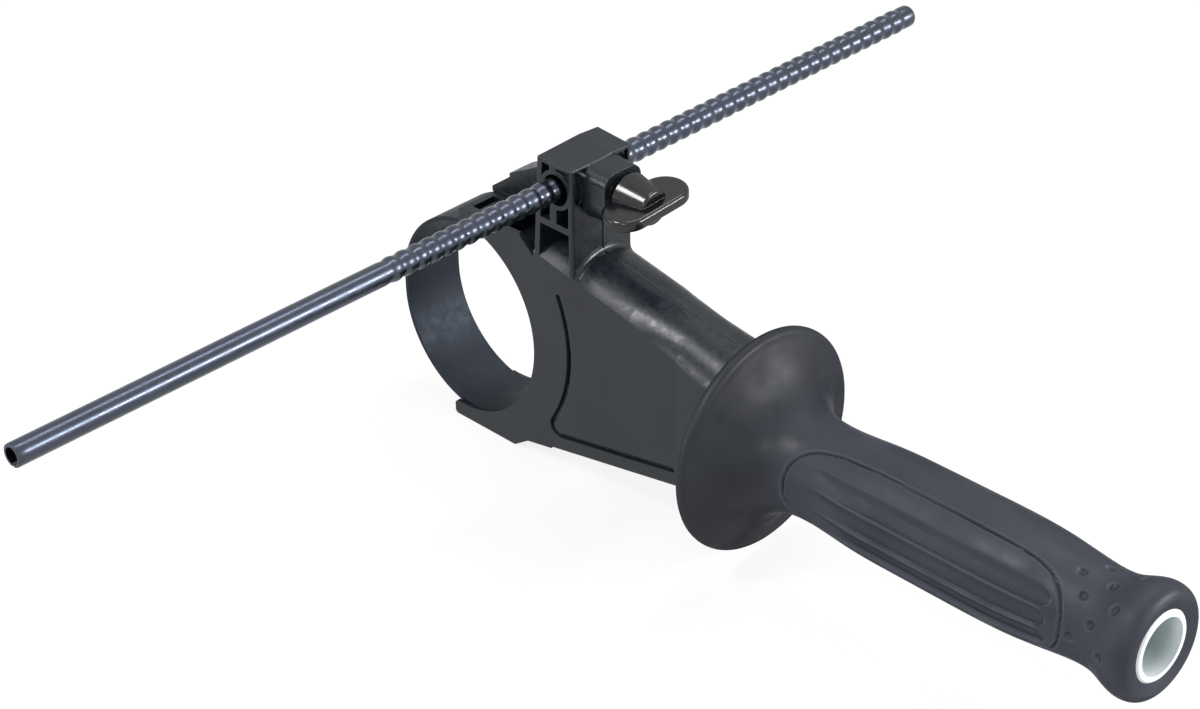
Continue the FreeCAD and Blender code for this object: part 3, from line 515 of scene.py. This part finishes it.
class SIDEHANDLE_OT_grip(bpy.types.Operator):
    """Makes the soft sleeve with its panels, recesses and dimples, and finishes the pale core"""
    bl_idname = "side_handle.grip"
    bl_label = "Grip"

    def execute(self, context):
        sizes = context.scene.side_handle_sizes
        loop = panel_loop()
        near = KDTree(len(loop))
        for index, point in enumerate(loop):
            near.insert((point.x, point.y, 0), index)
        near.balance()
        dimples = dimple_places()
        first, last = PANEL_HALF[0][0] - WORKED_BEFORE, PANEL_HALF[-1][0] + WORKED_AFTER
        build = bmesh.new()
        # A layer for the painted highlight on the lips of the hollows.
        worn = build.verts.layers.float.new("worn_edge")
        rings = []
        depths = []
        for x, radius in resampled(seam_outline("grip_sleeve"), RING_SPACING * MM):
            worked = first < x / MM < last and radius > UNWORKED_RADIUS * MM
            ring = []
            ring_depths = []
            for column in range(COLUMNS):
                around = 2 * math.pi * column / COLUMNS
                degrees = within_panel(math.degrees(around - sizes.grip_turn))
                depth = self.depth_at(x, degrees, near, dimples, sizes) if worked else 0.0
                r = radius - depth
                ring.append(build.verts.new((x, -r * math.cos(around), r * math.sin(around))))
                ring_depths.append(depth)
            rings.append(ring)
            depths.append(ring_depths)
        for ring, following in zip(rings, rings[1:] + rings[:1]):
            for column in range(COLUMNS):
                other = (column + 1) % COLUMNS
                build.faces.new((ring[column], following[column], following[other], ring[other]))
        self.mark_painted_lips(worn, rings, depths)
        bmesh.ops.recalc_face_normals(build, faces=build.faces)
        shade_smooth(build, crease_degrees=35)
        new_piece("grip_sleeve_skin", build, soft_elastomer(), "grip", "grip_elastomer", "grip_sleeve")
        dress(["grip_core"], natural_nylon())
        return {"FINISHED"}

    def mark_painted_lips(self, worn, rings, depths):
        """Writes how far each point stands above its neighbours, for the painted highlight on the lips."""
        for index, ring in enumerate(rings):
            before, here, after = depths[index - 1], depths[index], depths[(index + 1) % len(rings)]
            for column, vert in enumerate(ring):
                beside = here[column - 1] + here[(column + 1) % len(here)]
                proud = (beside + before[column] + after[column]) / 4 - here[column]
                vert[worn] = min(1.0, max(0.0, proud / (FULL_GLINT_RISE * MM)))

    def depth_at(self, x, degrees, near, dimples, sizes):
        """How far the skin lies below the turned outline at a place, in metres."""
        place = (x, math.radians(degrees) * (GRIP_RADIUS * MM), 0)
        distance = near.find(place)[2]
        depth = sizes.groove_depth * math.exp(-(distance / sizes.groove_half) ** 2)
        depth += sizes.recess_depth * recess_at(x / MM, degrees)
        for dimple_x, dimple_degrees in dimples:
            across = math.radians(within_panel(degrees - dimple_degrees)) * NECK_RADIUS * MM
            away = math.hypot(x - dimple_x * MM, across) / sizes.dimple_radius
            if away < DIMPLE_WALL[1]:
                depth += sizes.dimple_depth * (1 - ramp(away, *DIMPLE_WALL))
        return depth


class SIDEHANDLE_OT_base(bpy.types.Operator):
    """Finishes the moulded base, the steel strap and the clamping hardware"""
    bl_idname = "side_handle.base"
    bl_label = "Base and strap"

    def execute(self, context):
        dress(["clamp_base"], glass_filled_nylon())
        dress(["clamp_strap"], oxidised_strip())
        hardware = ["anchor_pin", "eye_bolt", "thrust_washer", "grip_nut", "thumb_nut", "thumb_stud"]
        dress(hardware, zinc_hardware())
        return {"FINISHED"}


# Depth rod, with its sizes in millimetres

# How far a bead's crest stands over the plain tube, the tube's wall, and the open seam underneath.
CREST_HEIGHT = 0.25
ROD_WALL = 1.0
ROD_SEAM = 0.9
# Where the beads begin along Y, how far before that the tube begins to fall to the first valley, and in how
# many steps the plain tube is made.
BEADS_Y = -77.7
FALL = 2
PLAIN_STEPS = 40
# How much broader a crest is than a valley, as a share of the rise, and the steps along one bead.
CREST_BREADTH = 0.07
BEAD_STEPS = 16
# The bevel at the near end.
NEAR_BEVEL = 0.35
# The far end: the length without beads, the way back up from the last valley, and the rounded rim.
TIP_LENGTH = 3.2
CLIMB = ((0.6, 0.1), (1.2, 0))
TIP_ROUND = 1.7
TIP_STEPS = 6
# Points round the tube.
AROUND = 48
# The ends of two beads that lie this near to each other are welded.
WELD = 0.005


def beads_tree():
    """A node tree that lays a bead out along Y as many times as asked and welds the row together."""
    tree = bpy.data.node_groups.new("rod_beads", "GeometryNodeTree")
    face = tree.interface
    face.new_socket("Geometry", in_out="INPUT", socket_type="NodeSocketGeometry")
    face.new_socket("Count", in_out="INPUT", socket_type="NodeSocketInt")
    face.new_socket("Pitch", in_out="INPUT", socket_type="NodeSocketFloat")
    face.new_socket("Material", in_out="INPUT", socket_type="NodeSocketMaterial")
    face.new_socket("Geometry", in_out="OUTPUT", socket_type="NodeSocketGeometry")
    source = add(tree, "NodeGroupInput").outputs
    step = add(tree, "ShaderNodeCombineXYZ", None, {"Y": source["Pitch"]})
    row = add(tree, "GeometryNodeMeshLine", None,
              {"Count": source["Count"], "Offset": step.outputs["Vector"]})
    laid = add(tree, "GeometryNodeInstanceOnPoints", None,
               {"Points": row.outputs["Mesh"], "Instance": source["Geometry"]})
    real = add(tree, "GeometryNodeRealizeInstances", None, {"Geometry": laid.outputs["Instances"]})
    weld = add(tree, "GeometryNodeMergeByDistance", {"Distance": WELD * MM},
               {"Geometry": real.outputs["Geometry"]})
    paint = add(tree, "GeometryNodeSetMaterial", None,
                {"Geometry": weld.outputs["Geometry"], "Material": source["Material"]})
    add(tree, "NodeGroupOutput", None, {"Geometry": paint.outputs["Geometry"]})
    return tree


def socket_id(tree, name):
    """The identifier that a modifier uses for a tree's named input."""
    for item in tree.interface.items_tree:
        if item.in_out == "INPUT" and item.name == name:
            return item.identifier
    raise RuntimeError("the tree has no input named " + name)


def tube_length(stations, centre, bore):
    """A mesh of open-seamed tube along Y from (y, radius) stations, and its rows of points."""
    build = bmesh.new()
    rows = []
    for y, radius in stations:
        half_gap = math.asin(ROD_SEAM * MM / 2 / radius)
        start, sweep = -math.pi / 2 + half_gap, 2 * math.pi - 2 * half_gap
        outer = []
        inner = []
        for step in range(AROUND + 1):
            turned = start + sweep * step / AROUND
            side, up = math.cos(turned), math.sin(turned)
            outer.append((centre.x + radius * side, y, centre.z + radius * up))
            inner.append((centre.x + bore * side, y, centre.z + bore * up))
        rows.append([build.verts.new(p) for p in outer + inner[::-1]])
    for row, following in zip(rows, rows[1:]):
        for index in range(len(row)):
            other = (index + 1) % len(row)
            build.faces.new((row[index], following[index], following[other], row[other]))
    return build, rows


def cap(build, row):
    """Closes one end of the open-seamed tube with quads between its outer and inner skins."""
    half = len(row) // 2
    for index in range(half - 1):
        build.faces.new((row[index], row[index + 1], row[-2 - index], row[-1 - index]))


class SIDEHANDLE_OT_rod(bpy.types.Operator):
    """Makes the depth rod: a plain rolled tube, a row of beads laid out by nodes, and a rounded tip"""
    bl_idname = "side_handle.rod"
    bl_label = "Depth rod"

    def execute(self, context):
        sizes = context.scene.side_handle_sizes
        steel = plated_steel()
        low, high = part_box("depth_rod")
        ridge = (high.x - low.x) / 2
        centre = Vector(((low.x + high.x) / 2, 0, (low.z + high.z) / 2))
        radius = ridge - CREST_HEIGHT * MM
        bore = radius - ROD_WALL * MM
        pitch = sizes.bead_pitch
        start = BEADS_Y * MM
        count = int((high.y - TIP_LENGTH * MM - start) / pitch)
        end = start + count * pitch
        stations = []
        for k in range(BEAD_STEPS + 1):
            bead_radius = self.swell(k / BEAD_STEPS, ridge, sizes.bead_rise)
            stations.append((start + pitch * k / BEAD_STEPS, bead_radius))
        valley = stations[0][1]
        bead = tube_length(stations, centre, bore)[0]
        beads = self.bead_row(context, bead, count, pitch, steel)
        whole = bmesh.new()
        self.add_end(whole, self.near_end(low.y, start, radius, valley), centre, bore, 0)
        self.add_end(whole, self.far_end(end, high.y, radius, valley), centre, bore, -1)
        whole.from_mesh(beads)
        bpy.data.meshes.remove(beads)
        bmesh.ops.remove_doubles(whole, verts=whole.verts, dist=WELD * MM)
        bmesh.ops.recalc_face_normals(whole, faces=whole.faces)
        shade_smooth(whole, crease_degrees=40)
        new_piece("depth_rod_tube", whole, steel, "rod", "rod_steel", "depth_rod")
        return {"FINISHED"}

    def swell(self, passed, ridge, rise):
        """The rod's radius at a share of a bead's length: a broad crest between narrower valleys."""
        wave = -math.cos(2 * math.pi * passed)
        return ridge - rise / 2 * (1 - wave) + CREST_BREADTH * rise * (1 - wave * wave)

    def bead_row(self, context, build, count, pitch, steel):
        """The mesh of one bead, laid out in a row by the node tree."""
        bead = bpy.data.meshes.new("rod_bead")
        build.to_mesh(bead)
        build.free()
        row = bpy.data.objects.new("rod_bead_row", bead)
        context.scene.collection.objects.link(row)
        tree = beads_tree()
        laid = row.modifiers.new("beads", "NODES")
        laid.node_group = tree
        for name, value in (("Count", count), ("Pitch", pitch), ("Material", steel)):
            laid[socket_id(tree, name)] = value
        beads = bpy.data.meshes.new_from_object(row.evaluated_get(context.evaluated_depsgraph_get()))
        bpy.data.objects.remove(row)
        bpy.data.meshes.remove(bead)
        return beads

    def near_end(self, near, start, radius, valley):
        """Stations of the plain tube, from its bevelled near end to the first valley."""
        bevel = NEAR_BEVEL * MM
        middle = bevel * 0.3
        stations = [(near, radius - bevel), (near + middle, radius - middle), (near + bevel, radius)]
        reach = start - FALL * MM - near
        stations += [(near + reach * k / PLAIN_STEPS, radius) for k in range(1, PLAIN_STEPS + 1)]
        return stations + [(start, valley)]

    def far_end(self, end, tip, radius, valley):
        """Stations of the tip, from the last valley to its rounded rim."""
        stations = [(end, valley)] + [(end + on * MM, radius - under * MM) for on, under in CLIMB]
        rim = TIP_ROUND * MM
        for k in range(TIP_STEPS + 1):
            turned = math.pi / 2 * k / TIP_STEPS
            stations.append((tip - rim + rim * math.sin(turned), radius - rim + rim * math.cos(turned)))
        return stations

    def add_end(self, whole, stations, centre, bore, capped):
        """Adds a length of tube to the rod and closes its first or last row."""
        build, rows = tube_length(stations, centre, bore)
        cap(build, rows[capped])
        part = bpy.data.meshes.new("rod_part")
        build.to_mesh(part)
        build.free()
        whole.from_mesh(part)
        bpy.data.meshes.remove(part)


class SIDEHANDLE_OT_thumb_screw(bpy.types.Operator):
    """Finishes the wing knob and the pressure pad"""
    bl_idname = "side_handle.thumb_screw"
    bl_label = "Thumb screw"

    def execute(self, context):
        dress(["thumb_knob"], polished_nylon())
        dress(["pressure_pad"], turned_brass())
        return {"FINISHED"}


# Studio, in metres

# The lamps face this point, and the side strip faces one further along the rod.
AIM = Vector((0.06, 0, 0.02))
STRIP_AIM = AIM + Vector((0, 0.68, 0))
ROD_WAY = Vector((0, 1, 0))
GRIP_WAY = Vector((1, 0, 0))
# Each lamp's name, its place, the point it faces, the direction of its length, its length and width, and its
# watts. The places were found from the highlights that the lamps leave on the rod, the arch and the knob.
LAMPS = (
    ("overhead_box", Vector((0, 0.32, 1.04)), AIM, ROD_WAY, 0.8, 0.13, 3.5),
    ("side_strip", STRIP_AIM + Vector((0.96, 0, 0.39)), STRIP_AIM, ROD_WAY, 0.85, 0.16, 17),
    ("front_box", Vector((-0.17, -0.64, 0.88)), AIM, GRIP_WAY, 0.24, 0.32, 6.5),
    ("low_box", Vector((-0.54, -0.92, 0.22)), AIM, ROD_WAY, 0.3, 0.3, 2),
    ("fill_box", Vector((0.52, -0.88, 0.6)), AIM, GRIP_WAY, 0.2, 0.2, 1.6),
)
# How bright the surroundings are for the light that falls on the handle; where they are seen they are white.
WORLD_LIGHT = 0.3
# The floor as it is seen: a dim paper that takes the shadow, and a glow. Then half its side, and its gap
# under the handle.
PAPER = 0.17
GLOW = 0.84
FLOOR_HALF = 4.0
FLOOR_GAP = 0.0005
# The point that the camera faces, in millimetres, its sensor's width in millimetres and what it can see.
CAMERA_AIM = (49.17, 0, 0.04)
SENSOR_WIDTH = 36
NEAREST = 0.05
FURTHEST = 50


def soft_light(name, place, aim, along, reach, width, watts):
    """A rectangular studio lamp that faces a point, with its length along a direction."""
    data = bpy.data.lights.new(name, "AREA")
    data.shape = "RECTANGLE"
    data.size = reach
    data.size_y = width
    data.energy = watts
    lamp = bpy.data.objects.new(name, data)
    back = (place - aim).normalized()
    across = (along - back * along.dot(back)).normalized()
    turn = Matrix((across, back.cross(across), back)).transposed()
    lamp.matrix_world = Matrix.Translation(place) @ turn.to_4x4()
    bpy.context.scene.collection.objects.link(lamp)


def seen_directly(tree):
    """One for camera, mirror and glass rays, and nought for the light that falls on the handle."""
    path = add(tree, "ShaderNodeLightPath").outputs
    seen = path["Is Camera Ray"]
    for ray in ("Is Glossy Ray", "Is Transmission Ray"):
        seen = add(tree, "ShaderNodeMath", None, {0: seen, 1: path[ray]}, operation="MAXIMUM").outputs[0]
    return seen


class SIDEHANDLE_OT_stage(bpy.types.Operator):
    """Sets up the camera, the pale floor, the lamps and the white surroundings"""
    bl_idname = "side_handle.stage"
    bl_label = "Studio"

    def execute(self, context):
        scene = context.scene
        stage = scene.side_handle_stage
        scene.view_settings.view_transform = "Standard"
        self.camera(scene, stage)
        self.floor(scene, stage)
        self.world(scene)
        for lamp in LAMPS:
            soft_light(*lamp)
        return {"FINISHED"}

    def camera(self, scene, stage):
        """The photograph's camera: a long lens from the near right, a little above."""
        a, e, roll = stage.azimuth, stage.elevation, stage.roll
        back = Vector((math.sin(a) * math.cos(e), -math.cos(a) * math.cos(e), math.sin(e)))
        right = Vector((math.cos(a), math.sin(a), 0))
        up = back.cross(right)
        across = right * math.cos(roll) + up * math.sin(roll)
        upward = up * math.cos(roll) - right * math.sin(roll)
        data = bpy.data.cameras.new("camera")
        data.sensor_width = SENSOR_WIDTH
        data.lens = stage.focal_pixels * data.sensor_width / PHOTO_WIDTH
        data.clip_start = NEAREST
        data.clip_end = FURTHEST
        camera = bpy.data.objects.new("camera", data)
        aim = Vector(CAMERA_AIM) * MM
        turn = Matrix((across, upward, back)).transposed()
        camera.matrix_world = Matrix.Translation(aim + back * stage.distance) @ turn.to_4x4()
        scene.collection.objects.link(camera)
        scene.camera = camera

    def floor(self, scene, stage):
        """A pale floor just under the handle, which shows white and keeps a soft shadow."""
        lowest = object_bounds()[0].z
        build = bmesh.new()
        bmesh.ops.create_grid(build, x_segments=1, y_segments=1, size=FLOOR_HALF)
        bmesh.ops.translate(build, verts=build.verts, vec=(0, 0, lowest - FLOOR_GAP))
        mesh = bpy.data.meshes.new("floor")
        build.to_mesh(mesh)
        build.free()
        material, tree = blank_material("pale_floor")
        plain = add(tree, "ShaderNodeBsdfDiffuse", {"Color": opaque(stage.floor)})
        paper = add(tree, "ShaderNodeBsdfDiffuse", {"Color": opaque((PAPER, PAPER, PAPER))})
        glow = add(tree, "ShaderNodeEmission", {"Color": opaque((1, 1, 1)), "Strength": GLOW})
        lit = add(tree, "ShaderNodeAddShader", None, {0: paper.outputs[0], 1: glow.outputs[0]})
        both = add(tree, "ShaderNodeMixShader", None,
                   {0: seen_directly(tree), 1: plain.outputs[0], 2: lit.outputs[0]})
        add(tree, "ShaderNodeOutputMaterial", None, {"Surface": both.outputs[0]})
        mesh.materials.append(material)
        floor = bpy.data.objects.new("floor", mesh)
        scene.collection.objects.link(floor)
        floor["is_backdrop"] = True

    def world(self, scene):
        """White where it is seen or mirrored, and a quieter even light on the handle."""
        world = bpy.data.worlds.new("studio")
        world.use_nodes = True
        tree = world.node_tree
        tree.nodes.clear()
        level = add(tree, "ShaderNodeMapRange", {"To Min": WORLD_LIGHT, "To Max": 1.0},
                    {"Value": seen_directly(tree)})
        sky = add(tree, "ShaderNodeBackground", {"Color": opaque((1, 1, 1))},
                  {"Strength": level.outputs["Result"]})
        add(tree, "ShaderNodeOutputWorld", None, {"Surface": sky.outputs["Background"]})
        scene.world = world


class SIDEHANDLE_PT_panel(bpy.types.Panel):
    """Lists the steps that dress the handle"""
    bl_idname = "SIDEHANDLE_PT_panel"
    bl_label = "Side handle"
    bl_space_type = "VIEW_3D"
    bl_region_type = "UI"
    bl_category = "Side handle"

    def draw(self, context):
        for step in STEPS:
            self.layout.operator(step.bl_idname)


STEPS = (
    SIDEHANDLE_OT_base, SIDEHANDLE_OT_grip, SIDEHANDLE_OT_rod, SIDEHANDLE_OT_thumb_screw, SIDEHANDLE_OT_stage,
)
GROUPS = {
    "side_handle_finish": HandleFinish,
    "side_handle_sizes": HandleSizes,
    "side_handle_stage": HandleStage,
}


def register():
    """Registers the classes and gives the scene its property groups."""
    for kind in (*GROUPS.values(), *STEPS, SIDEHANDLE_PT_panel):
        bpy.utils.register_class(kind)
    for name, group in GROUPS.items():
        setattr(bpy.types.Scene, name, bpy.props.PointerProperty(type=group))


def unregister():
    """Takes the property groups and the classes away again."""
    for name in GROUPS:
        delattr(bpy.types.Scene, name)
    for kind in (SIDEHANDLE_PT_panel, *reversed(STEPS), *reversed(GROUPS.values())):
        bpy.utils.unregister_class(kind)


def main():
    """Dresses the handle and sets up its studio."""
    register()
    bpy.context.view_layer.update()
    bpy.ops.side_handle.base()
    bpy.ops.side_handle.grip()
    bpy.ops.side_handle.rod()
    bpy.ops.side_handle.thumb_screw()
    bpy.ops.side_handle.stage()


if __name__ == "__main__":
    main()
